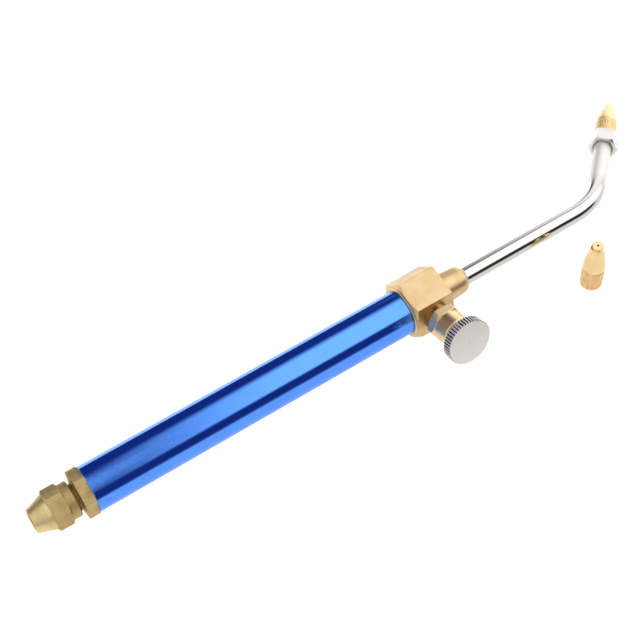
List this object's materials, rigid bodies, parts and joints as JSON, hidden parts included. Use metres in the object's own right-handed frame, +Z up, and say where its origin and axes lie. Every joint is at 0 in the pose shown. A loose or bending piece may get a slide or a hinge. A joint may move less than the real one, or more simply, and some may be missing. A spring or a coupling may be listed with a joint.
{
  "type": "lampwork torch",
  "caption": "Slim hand-held gas torch with a blue metal tube handle, a brass valve body with a side knob, a bent chrome neck, a screw-on nozzle, a tail hose fitting and a spare nozzle.",
  "frame": {"origin": "on the bench, under the centre of the whole object's footprint", "axes": "+X along the handle from the hose end towards the neck, tilted 1.14 degrees up from the handle's rear; +Y to the side the neck bends to, with the knob on -Y; +Z up from the bench"},
  "size_m": [0.2702, 0.0722, 0.0264],
  "materials": {
    "blue_anodised": "polished and anodised deep blue",
    "rear_brass": "machined, slightly dulled",
    "body_brass": "satin machined",
    "valve_brass": "bright machined",
    "nozzle_brass": "turned, with a rough gripping band",
    "nickel": "nickel plated, matt face and bright straight knurl",
    "neck_chrome": "bright plating on tube",
    "holder_chrome": "bright plating on machined hexagon",
    "solder": "silver brazing alloy",
    "steel": "turned",
    "rubber": "moulded",
    "ptfe": "waxy white",
    "copper": "soft annealed copper"
  },
  "bodies": {
    "torch": {"handle_tube": "blue_anodised", "rear_plug": "rear_brass", "plug_o_ring": "rubber", "body_o_ring": "rubber", "valve_body": "body_brass", "valve_bonnet": "valve_brass", "packing_ring": "ptfe", "packing_washer": "valve_brass", "gland_nut": "valve_brass", "neck_tube": "neck_chrome", "neck_solder": "solder", "nozzle_holder": "holder_chrome", "gas_jet": "nozzle_brass"},
    "stem_seal": {"stem_o_ring": "rubber"},
    "valve_handle": {"valve_stem": "steel", "knob": "nickel", "knob_grub_screw": "steel"},
    "hose_clamp": {"hose_ferrule": "rear_brass"},
    "hose_cap": {"hose_nut": "rear_brass"},
    "nozzle_seal": {"nozzle_washer": "copper"},
    "fitted_nozzle": {"nozzle": "nozzle_brass"},
    "loose_nozzle": {"spare_nozzle": "nozzle_brass"}
  },
  "joints": [
    {"name": "valve_travel", "type": "slide", "parent": "torch", "child": "stem_seal", "axis": [-0.0052, -0.9654, 0.2606], "range_m": [0, 0.0021]},
    {"name": "valve_turn", "type": "hinge", "parent": "stem_seal", "child": "valve_handle", "pos_m": [0.01249, -0.0315, 0.01778], "axis": [-0.0052, -0.9654, 0.2606], "range_deg": [0, 1080]},
    {"name": "hose_nut_travel", "type": "slide", "parent": "torch", "child": "hose_clamp", "axis": [-0.9998, 0, -0.0199], "range_m": [0, 0.006]},
    {"name": "hose_nut_turn", "type": "hinge", "parent": "hose_clamp", "child": "hose_cap", "pos_m": [-0.1272, -0.0064, 0.00822], "axis": [-0.9998, 0, -0.0199], "range_deg": [0, 2160]},
    {"name": "nozzle_travel", "type": "slide", "parent": "torch", "child": "nozzle_seal", "axis": [0.7228, 0.6706, -0.1667], "range_m": [0, 0.0056]},
    {"name": "nozzle_turn", "type": "hinge", "parent": "nozzle_seal", "child": "fitted_nozzle", "pos_m": [0.12104, 0.0229, 0.00525], "axis": [0.7228, 0.6706, -0.1667], "range_deg": [0, 2520]},
    {"name": "spare_nozzle_lift", "type": "slide", "parent": "torch", "child": "loose_nozzle", "axis": [0, 0, 1], "range_m": [0, 0.06]}
  ],
  "couplings": [
    {"joint": "valve_travel", "follows": "valve_turn", "m_per_rad": 0.00011141},
    {"joint": "hose_nut_travel", "follows": "hose_nut_turn", "m_per_rad": 0.00015915},
    {"joint": "nozzle_travel", "follows": "nozzle_turn", "m_per_rad": 0.00012732}
  ]
}
